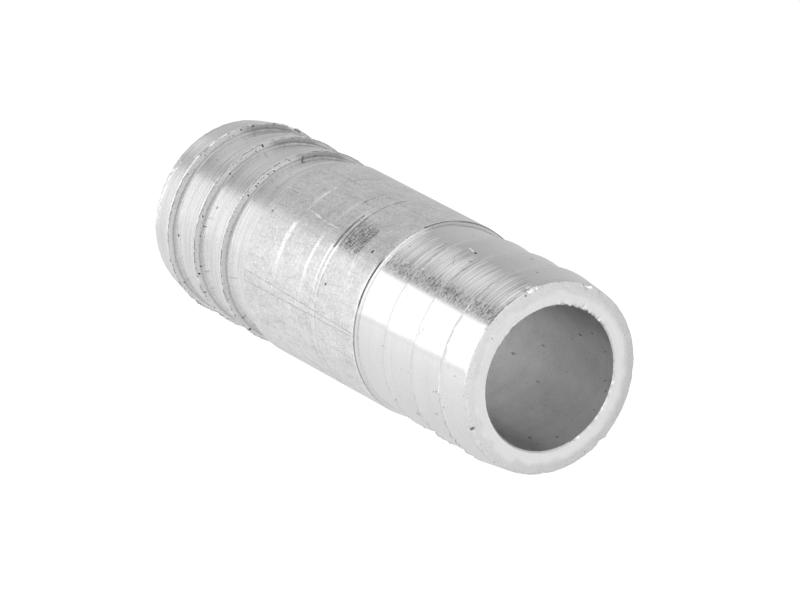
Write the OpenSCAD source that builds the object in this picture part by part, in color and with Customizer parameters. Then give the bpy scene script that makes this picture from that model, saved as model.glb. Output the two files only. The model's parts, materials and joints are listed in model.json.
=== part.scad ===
// Straight hose connector, turned in one piece from thick aluminium tube.
// Both ends carry a row of saw-tooth barbs that a hose is pushed over. Their
// slopes rise away from the open end and their steep backs face the middle,
// so the hose slides on and grips. The middle keeps the tube's plain skin.
// It stands upright on its lower end, with the bore along +Z and the origin
// at the centre of the lower end face.

/* [Tube] */
// Outside diameter of the plain middle, which the barb crests share
tube_d = 20; // [19:0.1:30]
// Diameter of the bore that runs from end to end
bore_d = 14.5; // [6:0.1:16]
// Length of the plain middle between the two shoulders
middle_l = 20.4; // [2:0.1:80]
// How far the shoulders step down from the plain skin to the necks
shoulder_h = 0.3; // [0.05:0.05:1]

/* [Upper barbed end] */
// Number of barbs on the upper end
upper_barbs = 3; // [1:1:6]
// Distance from one crest to the next on the upper end
upper_pitch = 5; // [2:0.1:12]
// Distance from the upper end face to its first crest
upper_lead_l = 4.1; // [1:0.1:10]
// Distance from the last crest to the upper shoulder
upper_neck_l = 4.8; // [1.5:0.1:15]
// How far the rim of the upper end lies inside the plain skin
upper_rim_inset = 0.4; // [0.1:0.05:1.2]
// How much lower each upper crest is than the crest before it
upper_crest_fall = 0.075; // [0.01:0.005:0.2]

/* [Lower barbed end] */
// Number of barbs on the lower end
lower_barbs = 3; // [1:1:6]
// Distance from one crest to the next on the lower end
lower_pitch = 5; // [2:0.1:12]
// Distance from the lower end face to its first crest
lower_lead_l = 3.5; // [1:0.1:10]
// Distance from the last crest to the lower shoulder
lower_neck_l = 4.4; // [1.5:0.1:15]
// How far the rim of the lower end lies inside the plain skin
lower_rim_inset = 0.65; // [0.1:0.05:1.2]

/* [Barbs] */
// Depth of the groove behind each crest
barb_depth = 0.58; // [0.1:0.02:1.2]
// Length along the tube of the steep back behind each crest
barb_back_l = 0.65; // [0.1:0.05:1.4]

/* [End faces] */
// Width of the shallow bevel round each end face
bevel_w = 1.05; // [0.3:0.05:1.8]
// How far that bevel falls back from the end face
bevel_h = 0.15; // [0.05:0.01:0.6]
// Broken edge at both mouths of the bore
bore_chamfer = 0.15; // [0.05:0.05:0.3]

/* [Hidden] */

$fn = 128;
aluminium = [0.80, 0.80, 0.81];

tube_r = tube_d / 2;
bore_r = bore_d / 2;
upper_end_l = upper_lead_l + (upper_barbs - 1) * upper_pitch + upper_neck_l;
lower_end_l = lower_lead_l + (lower_barbs - 1) * lower_pitch + lower_neck_l;
overall_l = lower_end_l + middle_l + upper_end_l;

// Cuts run this far past a face, so that they leave no skin
overrun = 1;

// Every outline point below is [radius, distance from its own end face].

// The crest of one barb, and the root at the foot of its steep back
function barb(crest_r, at) = [
    [crest_r, at],
    [crest_r - barb_depth, at + barb_back_l]
];

// One barbed end, from its end face to the shoulder of the plain middle
function barbed_end(barbs, pitch, lead_l, neck_l, rim_inset, crest_fall) =
    let (
        rim_r = tube_r - rim_inset,
        shoulder_at = lead_l + (barbs - 1) * pitch + neck_l
    )
    concat(
        [[0, 0], [rim_r - bevel_w, 0], [rim_r, bevel_h]],
        [
            for (i = [0 : barbs - 1])
                for (p = barb(tube_r - i * crest_fall, lead_l + i * pitch)) p
        ],
        [[tube_r - shoulder_h, shoulder_at], [tube_r, shoulder_at]]
    );

function lower_end_points() =
    barbed_end(lower_barbs, lower_pitch, lower_lead_l, lower_neck_l, lower_rim_inset, 0);

function upper_end_points() =
    barbed_end(upper_barbs, upper_pitch, upper_lead_l, upper_neck_l, upper_rim_inset, upper_crest_fall);

// The upper end's outline, turned over so that it follows on from the middle
function turned_over(points) = [
    for (i = [len(points) - 1 : -1 : 0]) [points[i][0], overall_l - points[i][1]]
];

// Outside of the whole connector, before it is bored
module turned_outside() {
    rotate_extrude()
        polygon(concat(lower_end_points(), turned_over(upper_end_points())));
}

// Straight bore with a broken edge at each mouth
module through_bore() {
    flare = bore_chamfer + overrun;
    translate([0, 0, -overrun])
        cylinder(r = bore_r, h = overall_l + 2 * overrun);
    for (mouth = [0, 1])
        translate([0, 0, mouth * overall_l])
            mirror([0, 0, mouth])
                translate([0, 0, -overrun])
                    cylinder(r1 = bore_r + flare, r2 = bore_r, h = flare);
}

// The connector is one solid: barbs, necks, shoulders and plain middle
module connector_body() {
    color(aluminium)
        difference() {
            turned_outside();
            through_bore();
        }
}

connector_body();
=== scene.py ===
"""A straight hose connector, turned in one piece from thick aluminium tube, in a white studio.

The connector stands on its lower end, where its CAD model stands. Its body is drawn as half of
its section and swept round the bore. Then its edges are worn: burrs on the crests, a worn edge on
the shoulder, nicks and chips. Five finishes cover it: the finely turned upper end, the coarser lower
end, the drawn skin of the plain middle, the faced end rings and the grey wall of the bore.

A place on the body is given by two numbers. "around" is the angle round the bore in degrees,
0 at the side that faces the camera and positive towards the top of the picture. "along" is the
height above the lower end in millimetres.
"""

import functools
import json
import math

import bmesh
import bpy
from mathutils import Matrix, Vector
from mathutils.kdtree import KDTree


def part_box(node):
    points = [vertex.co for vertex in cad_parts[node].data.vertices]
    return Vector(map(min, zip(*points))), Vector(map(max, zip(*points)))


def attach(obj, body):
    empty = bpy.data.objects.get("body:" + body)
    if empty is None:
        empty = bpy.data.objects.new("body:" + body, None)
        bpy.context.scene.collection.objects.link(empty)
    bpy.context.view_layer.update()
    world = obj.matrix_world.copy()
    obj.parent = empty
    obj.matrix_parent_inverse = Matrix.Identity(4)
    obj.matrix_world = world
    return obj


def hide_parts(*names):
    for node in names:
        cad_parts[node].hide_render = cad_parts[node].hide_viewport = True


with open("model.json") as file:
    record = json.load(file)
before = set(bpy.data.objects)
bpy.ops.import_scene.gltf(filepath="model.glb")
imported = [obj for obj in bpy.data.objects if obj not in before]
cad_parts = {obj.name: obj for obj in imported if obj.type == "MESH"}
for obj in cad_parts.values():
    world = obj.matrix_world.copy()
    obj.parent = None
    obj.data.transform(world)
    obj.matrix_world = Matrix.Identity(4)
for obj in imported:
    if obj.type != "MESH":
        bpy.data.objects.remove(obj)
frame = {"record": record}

bl_info = {
    "name": "Turned hose connector",
    "version": (1, 0, 0),
    "blender": (4, 5, 0),
    "location": "3D View > Sidebar > Hose connector",
    "description": "Models, wears, finishes and lights a barbed aluminium hose connector",
    "category": "Mesh",
}

MM = 0.001
BODY_NODE = "connector_body"
BODY_PIECE = "turned_connector"
RIDES_ON = "root"

cad_low, cad_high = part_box(BODY_NODE)
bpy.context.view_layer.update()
mounts = {mount["name"]: mount for mount in frame["record"]["mounts"]}
BORE_R = mounts["through_bore"]["dims"]["r_mm"] * MM
TUBE_R = mounts["plain_middle"]["dims"]["r_mm"] * MM
TUBE_L = cad_high.z - cad_low.z


def millimetres(name, description, default, low=0.0, high=100.0):
    """A length that the sidebar shows in the scene's own units."""
    return bpy.props.FloatProperty(
        name=name, description=description, default=default * MM,
        min=low * MM, max=high * MM, precision=5, subtype="DISTANCE", unit="LENGTH",
    )


def frame_length(name, description, metres):
    """A length that comes from the CAD model."""
    return bpy.props.FloatProperty(
        name=name, description=description, default=metres,
        precision=5, subtype="DISTANCE", unit="LENGTH",
    )


def grey(name, description, level):
    """A neutral metal colour of one level, a breath cooler than plain grey."""
    return bpy.props.FloatVectorProperty(
        name=name, description=description, default=(level, level, level * 1.006),
        size=3, min=0.0, max=1.0, subtype="COLOR",
    )


def share(name, description, default, high=1.0):
    return bpy.props.FloatProperty(
        name=name, description=description, default=default, min=0.0, max=high, subtype="FACTOR",
    )


def degrees(name, description, default):
    return bpy.props.FloatProperty(
        name=name, description=description, default=math.radians(default),
        subtype="ANGLE", unit="ROTATION",
    )


class CONNECTOR_PG_sizes(bpy.types.PropertyGroup):
    """Real sizes of the turned body."""

    tube_r: frame_length("Plain radius", "Radius of the plain middle and the tallest crests", TUBE_R)
    bore_r: frame_length("Bore radius", "Radius of the bore from end to end", BORE_R)
    length: frame_length("Length", "Length from end face to end face", TUBE_L)
    pitch: millimetres("Barb pitch", "Distance from one crest to the next", 5.0)
    barb_depth: millimetres("Barb depth", "Depth of the groove behind each crest", 0.58)
    barb_back: millimetres("Barb back", "Length along the tube of the steep back of a barb", 0.65)
    crest_round: millimetres("Crest round", "Radius worn onto each crest", 0.11)
    shoulder_step: millimetres("Shoulder step", "How far a shoulder steps down to its neck", 0.3)
    shoulder_edge: millimetres("Shoulder edge", "Width of the worn edge of the upper shoulder", 0.26)
    shoulder_band: millimetres("Shoulder band", "Rough strip between that edge and the shoulder", 0.27)
    lower_lead: millimetres("Lower lead", "Lower end face to its first crest", 3.5)
    lower_neck: millimetres("Lower neck", "Last lower crest to the lower shoulder", 4.4)
    lower_inset: millimetres("Lower rim inset", "Lower rim inside the plain skin", 0.65)
    upper_lead: millimetres("Upper lead", "Upper end face to its first crest", 4.1)
    upper_neck: millimetres("Upper neck", "Last upper crest to the worn upper shoulder", 4.94)
    upper_inset: millimetres("Upper rim inset", "Upper rim inside the plain skin", 0.4)
    upper_fall: millimetres("Upper crest fall", "How much lower each upper crest is", 0.075)
    upper_land: millimetres("Upper crest land", "Flat worn onto the top of each upper crest", 0.30)
    lower_land: millimetres("Lower crest land", "Flat worn onto the top of each lower crest", 0.10)
    bevel_w: millimetres("Face bevel width", "Width of the bevel round an end face", 1.05)
    bevel_h: millimetres("Face bevel fall", "How far that bevel falls back", 0.15)
    bore_chamfer: millimetres("Bore chamfer", "Broken edge at the mouths of the bore", 0.15)
    barbs: bpy.props.IntProperty(
        name="Barbs", description="Number of barbs on each end", default=3, min=1, max=6)
    segments: bpy.props.IntProperty(
        name="Segments", description="Flats round the body", default=480, min=48, max=720)


class CONNECTOR_PG_wear(bpy.types.PropertyGroup):
    """How worn the edges are."""

    edge_burr: millimetres("Edge burr", "Unevenness of the crests and the shoulder edge", 0.34)
    rim_burr: millimetres("Rim burr", "Unevenness of the outer rims", 0.09)
    mouth_burr: millimetres("Mouth burr", "Unevenness of the mouths of the bore", 0.26)


class CONNECTOR_PG_finish(bpy.types.PropertyGroup):
    """Colours and roughness of the bare metal."""

    turned: grey("Turned metal", "Bright metal of the barbed ends", 0.82)
    skin: grey("Drawn skin", "Duller metal of the plain middle", 0.80)
    faced: grey("Faced ring", "Metal of the end faces", 0.87)
    bore: grey("Bore wall", "Metal inside the bore", 0.90)
    upper_rough: share("Upper end roughness", "Roughness of the finely turned upper end", 0.12)
    lower_rough: share("Lower end roughness", "Roughness of the coarser lower end", 0.17)
    skin_rough: share("Skin roughness", "Roughness of the drawn skin", 0.32)
    face_rough: share("Face roughness", "Roughness of the end faces", 0.38)
    bore_rough: share("Bore roughness", "Roughness of the bore wall", 0.30)
    bore_bare: share("Bore bareness", "How far the bore wall is free of its dull oxide", 0.88)


class CONNECTOR_PG_studio(bpy.types.PropertyGroup):
    """Camera and floor."""

    distance: frame_length("Camera distance", "From the camera to the point it aims at", 0.8394)
    aim_side: millimetres("Aim side", "How far right of the bore's axis the camera aims", 0.172)
    aim_height: millimetres("Aim height", "Height above the table that the camera aims at", 30.81)
    elevation: degrees("Camera elevation", "How steeply the camera looks down", 52.39)
    roll: degrees("Camera roll", "Turn of the camera about its own line of sight", 118.24)
    lens: bpy.props.FloatProperty(
        name="Lens", description="Focal length for a 36 mm wide sensor, in millimetres",
        default=388.9, min=20.0, max=600.0)
    shadow: share("Shadow strength", "How much of the object's shadow the floor keeps", 0.25)


def deselect_all():
    """Leaves edit mode and deselects every object, because an operator acts on all selected."""
    if bpy.context.object and bpy.context.object.mode != "OBJECT":
        bpy.ops.object.mode_set(mode="OBJECT")
    bpy.ops.object.select_all(action="DESELECT")


def make_active(piece):
    deselect_all()
    piece.select_set(True)
    bpy.context.view_layer.objects.active = piece


def shoulders(s):
    """Heights of the lower and the upper shoulder."""
    low = s.lower_lead + (s.barbs - 1) * s.pitch + s.lower_neck
    high = s.length - (s.upper_lead + (s.barbs - 1) * s.pitch + s.upper_neck)
    return low, high


# Small steps of the section. The strips beside edges keep smooth shading from spreading.
MOUTH_STRIP = 0.12 * MM  # of bore wall beside each mouth, which its burrs distort
WALL_STRIP = 0.40 * MM  # from the mouth to where the plain wall starts
LAND_FALL = 0.01 * MM  # how much lower a land starts than its crest
MARK_STRIP = 0.03 * MM  # beside a tool mark
TOOTH_WALL = 0.05 * MM  # the height of a tooth's steep upper wall
EDGE_SLOPE = 0.13  # how far the worn shoulder edge falls over its width
BAND_FALL = 0.005 * MM  # how far the band beside it falls
RING_GAP = 0.55 * MM  # between two rings of the mesh on long slopes
WELD = 0.001 * MM  # points closer than this are one
# Grooves that a tool left round the plain middle, as (top, width, depth, teeth, shine), lengths in
# millimetres. Each tooth has a steep upper wall and a long lower wall that catches the light. Shine
# makes a groove smoother and paints a highlight into it on the lit side of the tube.
RING_MARKS = (
    (23.46, 0.62, 0.036, 2, 0.45),
    (28.24, 0.46, 0.032, 2, 0.40),
    (30.30, 0.32, 0.040, 1, 0.75),
    (30.98, 0.28, 0.034, 1, 1.00),
)


def rounded_corner(before, corner, after, radius, steps):
    """Points of the arc of that radius which rounds off a corner between two neighbours."""
    to_before = (before - corner).normalized()
    to_after = (after - corner).normalized()
    half = to_before.angle(to_after) / 2
    reach = radius / math.tan(half)
    centre = corner + (to_before + to_after).normalized() * (radius / math.sin(half))
    start = corner + to_before * reach - centre
    turn = start.angle_signed(corner + to_after * reach - centre)
    return [centre + Matrix.Rotation(-turn * i / steps, 2) @ start for i in range(steps + 1)]


def barbed_end(s, lead, inset, fall, land):
    """One end's corners from its face to its last root, as (kind, radius, distance from face)."""
    rim = s.tube_r - inset
    corners = [
        ("wall", s.bore_r, s.bore_chamfer + WALL_STRIP),
        ("mouth", s.bore_r, s.bore_chamfer + MOUTH_STRIP),
        ("throat", s.bore_r, s.bore_chamfer),
        ("face", s.bore_r + s.bore_chamfer, 0.0),
        ("face", rim - s.bevel_w, 0.0),
        ("rim", rim, s.bevel_h),
    ]
    for i in range(s.barbs):
        at = lead + i * s.pitch
        crest = s.tube_r - i * fall
        corners.append(("land", crest - LAND_FALL, at - land))
        corners.append(("crest", crest, at))
        corners.append(("root", crest - s.barb_depth, at + s.barb_back))
    return corners


def ring_mark(radius, top, width, depth, teeth):
    """Corners of one tool mark, from its lower edge up."""
    corners = [("mark", radius, top - width - MARK_STRIP)]
    tooth = width / teeth
    for i in range(teeth):
        low = top - width + i * tooth
        corners.append(("mark", radius, low))
        corners.append(("mark", radius - depth, low + tooth - TOOTH_WALL))
    return corners + [("mark", radius, top), ("mark", radius, top + MARK_STRIP)]


def section_corners(s):
    """The whole section once round: lower face, outside, upper face and back down the bore."""
    low, high = shoulders(s)
    neck = s.tube_r - s.shoulder_step
    edge = s.tube_r - s.shoulder_edge * EDGE_SLOPE
    corners = barbed_end(s, s.lower_lead, s.lower_inset, 0.0, s.lower_land)
    corners += [("neck", neck, low), ("shoulder", s.tube_r, low)]
    for top, width, depth, teeth, _ in RING_MARKS:
        corners += ring_mark(s.tube_r, top * MM, width * MM, depth * MM, teeth)
    corners += [
        ("edge", s.tube_r, high - s.shoulder_edge - s.shoulder_band),
        ("edge", edge, high - s.shoulder_band),
        ("edge", edge - BAND_FALL, high),
        ("neck", neck, high),
    ]
    upper = barbed_end(s, s.upper_lead, s.upper_inset, s.upper_fall, s.upper_land)
    corners += [(kind, r, s.length - z) for kind, r, z in reversed(upper)]
    return corners


def rings_between(kind_a, kind_b, length):
    """Rings on a straight stretch: close together on steep backs, wide on long slopes."""
    kinds = {kind_a, kind_b}
    if kinds == {"wall"}:
        return 16
    if kinds in ({"mark"}, {"edge"}, {"land", "crest"}, {"wall", "mouth"}, {"mouth", "throat"}):
        return 1
    if kinds == {"crest", "root"} and length < 2 * MM:
        return 4
    if "face" in kinds:
        return 4 if length > 0.3 * MM else 1
    return max(1, round(length / RING_GAP))


def section_stops(s):
    """Every point of the section, in the order in which it is extruded."""
    corners = section_corners(s)
    places = [Vector((r, z)) for kind, r, z in corners]
    stops = []
    for i, (kind, r, z) in enumerate(corners):
        if kind in ("crest", "rim", "shoulder"):
            radius = s.crest_round if kind == "crest" else s.crest_round * 0.5
            after = places[(i + 1) % len(places)]
            arc = rounded_corner(places[i - 1], places[i], after, radius, 3)
        else:
            arc = [places[i]]
        if stops:
            start = stops[-1]
            count = rings_between(corners[i - 1][0], kind, (arc[0] - start).length)
            stops += [start.lerp(arc[0], k / count) for k in range(1, count + 1)]
            stops += arc[1:]
        else:
            stops += arc
    count = rings_between("wall", "wall", 0)
    last = stops[-1]
    stops += [last.lerp(stops[0], k / count) for k in range(1, count + 1)]
    return stops


def draw_section(s):
    """Extrudes a vertex from stop to stop round the section."""
    stops = section_stops(s)
    bpy.ops.mesh.primitive_plane_add(size=MM, location=(0, 0, 0))
    piece = bpy.context.object
    bpy.ops.object.mode_set(mode="EDIT")
    bpy.ops.mesh.select_all(action="SELECT")
    bpy.ops.mesh.merge(type="CENTER")
    bpy.ops.transform.translate(value=(stops[0].x, 0, stops[0].y))
    for here, there in zip(stops, stops[1:]):
        move = there - here
        bpy.ops.mesh.extrude_region_move(
            TRANSFORM_OT_translate={"value": (move.x, 0, move.y)})
    bpy.ops.mesh.select_all(action="SELECT")
    bpy.ops.mesh.remove_doubles(threshold=WELD)
    bpy.ops.object.mode_set(mode="OBJECT")
    return piece


def sweep_round(piece, segments):
    """Turns the drawn section into the body, as on a lathe."""
    make_active(piece)
    screw = piece.modifiers.new("Sweep", "SCREW")
    screw.axis = "Z"
    screw.angle = math.tau
    screw.steps = screw.render_steps = segments
    screw.use_merge_vertices = True
    screw.merge_threshold = WELD
    bpy.ops.object.modifier_apply(modifier=screw.name)
    bpy.ops.object.mode_set(mode="EDIT")
    bpy.ops.mesh.select_all(action="SELECT")
    bpy.ops.mesh.normals_make_consistent(inside=False)
    bpy.ops.object.mode_set(mode="OBJECT")


class CONNECTOR_OT_turn_body(bpy.types.Operator):
    """Draw the section and sweep it round the bore"""

    bl_idname = "connector.turn_body"
    bl_label = "Turn the body"
    bl_options = {"REGISTER", "UNDO"}

    def execute(self, context):
        sizes = context.scene.connector_sizes
        deselect_all()
        piece = draw_section(sizes)
        sweep_round(piece, sizes.segments)
        piece.name = piece.data.name = BODY_PIECE
        bpy.ops.object.shade_smooth_by_angle(angle=math.radians(26))
        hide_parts(BODY_NODE)
        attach(piece, RIDES_ON)
        return {"FINISHED"}


def on_body(around, along, radius):
    """The point at a place on the body, with along and radius in millimetres."""
    angle = math.radians(around)
    return Vector((-math.sin(angle) * radius, -math.cos(angle) * radius, along)) * MM


def roughen(piece, name, grain, depth, weigh, rest=0.5):
    """Displaces the vertices that get a weight, with a cloudy pattern of that grain. Where the
    pattern is brighter than rest they move outwards, and elsewhere inwards."""
    group = piece.vertex_groups.new(name=name)
    for vertex in piece.data.vertices:
        x, y, z = vertex.co
        weight = weigh(math.hypot(x, y), z, math.degrees(math.atan2(-x, -y)))
        if weight > 0:
            group.add([vertex.index], weight, "REPLACE")
    texture = bpy.data.textures.new(name, "CLOUDS")
    texture.noise_scale = grain
    texture.noise_depth = 2
    modifier = piece.modifiers.new(name, "DISPLACE")
    modifier.texture = texture
    modifier.texture_coords = "LOCAL"
    modifier.direction = "NORMAL"
    modifier.vertex_group = name
    modifier.mid_level = rest
    modifier.strength = depth
    make_active(piece)
    bpy.ops.object.modifier_apply(modifier=modifier.name)


# Knocks, as (around, along, radius, reach, outwards, upwards), lengths in millimetres.
KNOCKS = (
    # burrs that stand up on the upper crests, low on the far side of the picture
    (-37, 53.1, 10, 0.35, 0.13, -0.1), (-41, 53.1, 10, 0.25, -0.1, 0), (-67, 53.05, 10, 0.5, 0.14, -0.05),
    (-72, 53.05, 10, 0.4, 0.1, -0.08), (-76, 53.1, 10, 0.4, 0.17, -0.05), (-82, 53.05, 10, 0.6, 0.12, 0),
    (-60, 48.1, 9.93, 0.5, 0.12, -0.05), (-66, 48.05, 9.93, 0.4, 0.17, -0.05),
    (-70, 48.1, 9.93, 0.3, 0.09, 0.05), (-74, 48.1, 9.93, 0.4, 0.16, -0.1),
    (-80, 48.05, 9.93, 0.6, 0.12, 0), (-64, 43.1, 9.85, 0.5, 0.07, 0), (-14, 53.1, 10, 0.4, -0.03, 0),
    (4, 48.1, 9.93, 0.4, 0.02, -0.02), (-12, 48.05, 9.93, 0.5, -0.03, 0),
    # nicks on the upper rim
    (83.5, 57.05, 9.58, 0.5, -0.16, -0.12), (41.8, 57.05, 9.58, 0.4, -0.14, -0.12),
    (38.5, 57.05, 9.58, 0.3, 0.07, 0.05), (-166, 57.05, 9.6, 0.4, 0.13, 0),
    (-161, 57.05, 9.6, 0.5, -0.1, -0.05), (-120, 57.05, 9.6, 0.6, -0.06, 0),
    (-55, 57, 9.5, 0.3, -0.06, -0.06), (-86, 57.05, 9.6, 0.5, 0.06, 0),
    (152, 57.05, 9.6, 0.6, -0.05, -0.03), (24, 57.1, 9.55, 0.4, 0.04, -0.04),
    # the ragged mouth of the bore
    (67, 57.2, 7.3, 0.35, 0.14, -0.05), (73, 57.2, 7.3, 0.25, -0.16, 0), (79, 57.2, 7.3, 0.3, 0.1, -0.05),
    (86, 57.2, 7.3, 0.3, 0.16, -0.08), (92, 57.2, 7.3, 0.25, -0.18, 0), (97, 57.2, 7.3, 0.3, 0.12, -0.05),
    (104, 57.2, 7.3, 0.3, 0.1, -0.05), (-144, 57.2, 7.3, 0.28, -0.22, 0), (-149, 57.2, 7.3, 0.3, 0.08, 0),
    (160, 57.2, 7.3, 0.4, 0.06, 0), (20, 57.2, 7.3, 0.4, 0.08, 0), (5, 57.2, 7.3, 0.3, -0.06, 0),
    # chips on the lower rim and a notch in the first lower crest
    (-14.8, 0.15, 9.35, 0.35, -0.14, 0.1), (-19, 0.5, 9.4, 0.3, 0.06, 0),
    (-26.5, 0.2, 9.35, 0.4, -0.12, 0.1), (-8, 0.15, 9.35, 0.3, 0.07, 0), (2, 0.15, 9.35, 0.35, -0.09, 0.06),
    (-34, 0.15, 9.35, 0.4, 0.05, 0), (83, 3.55, 10, 0.6, -0.2, 0.1), (88, 3.6, 10, 0.4, 0.08, 0),
    (74, 3.5, 10, 0.4, -0.07, 0), (15.5, 3.45, 10, 0.3, 0.06, -0.05),
)


def knock(piece, knocks):
    """Pulls or pushes the edge at each place, and less and less of the metal round it."""
    places = KDTree(len(piece.data.vertices))
    for vertex in piece.data.vertices:
        places.insert(vertex.co, vertex.index)
    places.balance()
    make_active(piece)
    bpy.ops.object.mode_set(mode="EDIT")
    bpy.ops.mesh.select_mode(type="VERT")
    for around, along, radius, reach, outwards, upwards in knocks:
        nearest = places.find(on_body(around, along, radius))[1]
        bpy.ops.mesh.select_all(action="DESELECT")
        mesh = bmesh.from_edit_mesh(piece.data)
        mesh.verts.ensure_lookup_table()
        mesh.verts[nearest].select = True
        move = on_body(around, 0, 1).normalized() * outwards * MM
        bpy.ops.transform.translate(
            value=(move.x, move.y, upwards * MM), use_proportional_edit=True,
            proportional_edit_falloff="SMOOTH", proportional_size=reach * MM)
    bpy.ops.object.mode_set(mode="OBJECT")


# How far from an edge its burrs reach, and the ragged sides in degrees around.
CREST_REACH = 0.2 * MM
RIM_REACH = 0.3 * MM
RAGGED_CRESTS = (-95, -48)
RAGGED_MOUTH = (55, 112)


class CONNECTOR_OT_wear_edges(bpy.types.Operator):
    """Roughen the crests, rims and mouths, then knock them where the real ones are knocked"""

    bl_idname = "connector.wear_edges"
    bl_label = "Wear the edges"
    bl_options = {"REGISTER", "UNDO"}

    def execute(self, context):
        s = context.scene.connector_sizes
        wear = context.scene.connector_wear
        piece = bpy.data.objects[BODY_PIECE]
        high = shoulders(s)[1]
        crests = [s.lower_lead + i * s.pitch for i in range(s.barbs)]
        crests += [s.length - s.upper_lead - i * s.pitch for i in range(s.barbs)]

        def on_crest(r, z, around):
            near_shoulder = abs(z - high) < s.pitch / 2
            if r < s.tube_r - (0.2 if near_shoulder else 0.35) * MM:
                return 0
            gap = min(abs(z - edge) for edge in crests + [high])
            on_ragged_side = RAGGED_CRESTS[0] < around < RAGGED_CRESTS[1]
            ragged = 0.04 if near_shoulder else 1.0 if on_ragged_side else 0.2
            return ragged * max(0.0, 1 - gap / CREST_REACH)

        def on_rim(r, z, around):
            gap = min(z, s.length - z)
            rim = s.tube_r - (s.lower_inset if z < s.length / 2 else s.upper_inset)
            if gap > 0.5 * MM or r < rim - RIM_REACH:
                return 0
            return max(0.0, 1 - abs(gap - s.bevel_h) / RIM_REACH)

        def at_mouth(r, z, around):
            gap = min(z, s.length - z)
            if gap > 0.25 * MM or r > s.bore_r + 0.35 * MM:
                return 0
            ragged = 1.0 if RAGGED_MOUTH[0] < around < RAGGED_MOUTH[1] else 0.4
            return ragged * max(0.0, 1 - abs(r - s.bore_r - s.bore_chamfer * 0.6) / RIM_REACH)

        roughen(piece, "uneven crests", 0.32 * MM, wear.edge_burr, on_crest)
        roughen(piece, "uneven rims", 0.7 * MM, wear.rim_burr, on_rim, rest=0.7)
        roughen(piece, "uneven mouths", 0.34 * MM, wear.mouth_burr, at_mouth)
        knock(piece, KNOCKS)
        return {"FINISHED"}


# One degree round the tube in millimetres: for placed marks, taken between the roots and the crests,
# and for random strokes, taken on the plain middle.
MARK_DEGREE = 0.17
STROKE_DEGREE = 0.1745
# The angle that a millimetre round the plain middle takes up, in degrees
TURN_PER_MM = 5.7
# Where a pit and a scratch reach their full depth, as a share of their size
PIT_FLOOR = 0.35
SCRATCH_FLOOR = 0.3


class Wiring:
    """Adds nodes to one node tree and joins them."""

    def __init__(self, tree):
        self.tree = tree

    def feed(self, socket, value):
        if isinstance(value, bpy.types.NodeSocket):
            self.tree.links.new(value, socket)
        else:
            socket.default_value = value

    def node(self, kind, inputs=None, **settings):
        made = self.tree.nodes.new(kind)
        for name, value in settings.items():
            setattr(made, name, value)
        for name, value in (inputs or {}).items():
            self.feed(made.inputs[name], value)
        return made

    def math(self, operation, *values, clamp=False):
        inputs = dict(enumerate(values))
        return self.node("ShaderNodeMath", inputs, operation=operation, use_clamp=clamp).outputs[0]

    def fold(self, operation, values):
        """All values taken together, from left to right."""
        return functools.reduce(functools.partial(self.math, operation), values)

    def times(self, *values):
        return self.fold("MULTIPLY", values)

    def line(self, value, slope, start):
        """A straight line over the value: start where the value is 0."""
        return self.math("MULTIPLY_ADD", value, slope, start)

    def vector(self, operation, *values):
        made = self.node("ShaderNodeVectorMath", dict(enumerate(values)), operation=operation)
        return made.outputs["Value" if operation in ("DOT_PRODUCT", "LENGTH") else "Vector"]

    def join(self, x, y, z=0.0):
        return self.node("ShaderNodeCombineXYZ", {0: x, 1: y, 2: z}).outputs[0]

    def split(self, vector):
        return self.node("ShaderNodeSeparateXYZ", {0: vector}).outputs

    def step(self, value, start, end):
        """0 before start and 1 after end, with a smooth rise between them."""
        inputs = {"Value": value, "From Min": start, "From Max": end}
        return self.node("ShaderNodeMapRange", inputs, interpolation_type="SMOOTHSTEP").outputs["Result"]

    def between(self, value, low, high, soft):
        """1 between two values and 0 outside them, with soft edges."""
        rise = self.step(value, low - soft, low + soft)
        return self.times(rise, self.step(value, high + soft, high - soft))

    def noise(self, vector, scale, detail=2.0, roughness=0.5):
        inputs = {"Vector": vector, "Scale": scale, "Detail": detail, "Roughness": roughness}
        return self.node("ShaderNodeTexNoise", inputs).outputs["Fac"]

    def blend(self, factor, a, b):
        inputs = {"Factor": factor, "A": a, "B": b}
        return self.node("ShaderNodeMix", inputs, data_type="RGBA").outputs["Result"]


def new_group(name, inputs, outputs):
    """A node group with named number sockets, apart from Position, which is a vector."""
    tree = bpy.data.node_groups.new(name, "ShaderNodeTree")
    for label in inputs:
        kind = "NodeSocketVector" if label == "Position" else "NodeSocketFloat"
        tree.interface.new_socket(name=label, in_out="INPUT", socket_type=kind)
    for label in outputs:
        tree.interface.new_socket(name=label, in_out="OUTPUT", socket_type="NodeSocketFloat")
    start = tree.nodes.new("NodeGroupInput").outputs
    return Wiring(tree), start, tree.nodes.new("NodeGroupOutput").inputs


def group_place_on_tube():
    """Angle round the bore and height of a point, both a little ragged, and its exact radius and
    height."""
    wires, start, end = new_group(
        "place on tube", ("Position", "Raggedness"), ("Around", "Along", "Radius", "Height"))
    at = wires.split(start["Position"])
    left, front = wires.times(at["X"], -1.0), wires.times(at["Y"], -1.0)
    turn = wires.times(wires.math("ARCTAN2", left, front), 180 / math.pi)
    height = wires.times(at["Z"], 1 / MM)
    radius = wires.times(wires.vector("LENGTH", wires.join(at["X"], at["Y"])), 1 / MM)
    shake = wires.node("ShaderNodeTexNoise", {
        "Vector": start["Position"], "Scale": 1 / (0.45 * MM), "Detail": 2.0})
    shake = wires.split(shake.outputs["Color"])
    ragged = (("Around", turn, shake["X"], TURN_PER_MM), ("Along", height, shake["Y"], 1.0))
    for label, value, by, unit in ragged:
        off = wires.times(wires.math("SUBTRACT", by, 0.5), unit * 4, start["Raggedness"])
        wires.feed(end[label], wires.math("ADD", value, off))
    wires.feed(end["Radius"], radius)
    wires.feed(end["Height"], height)


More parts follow.
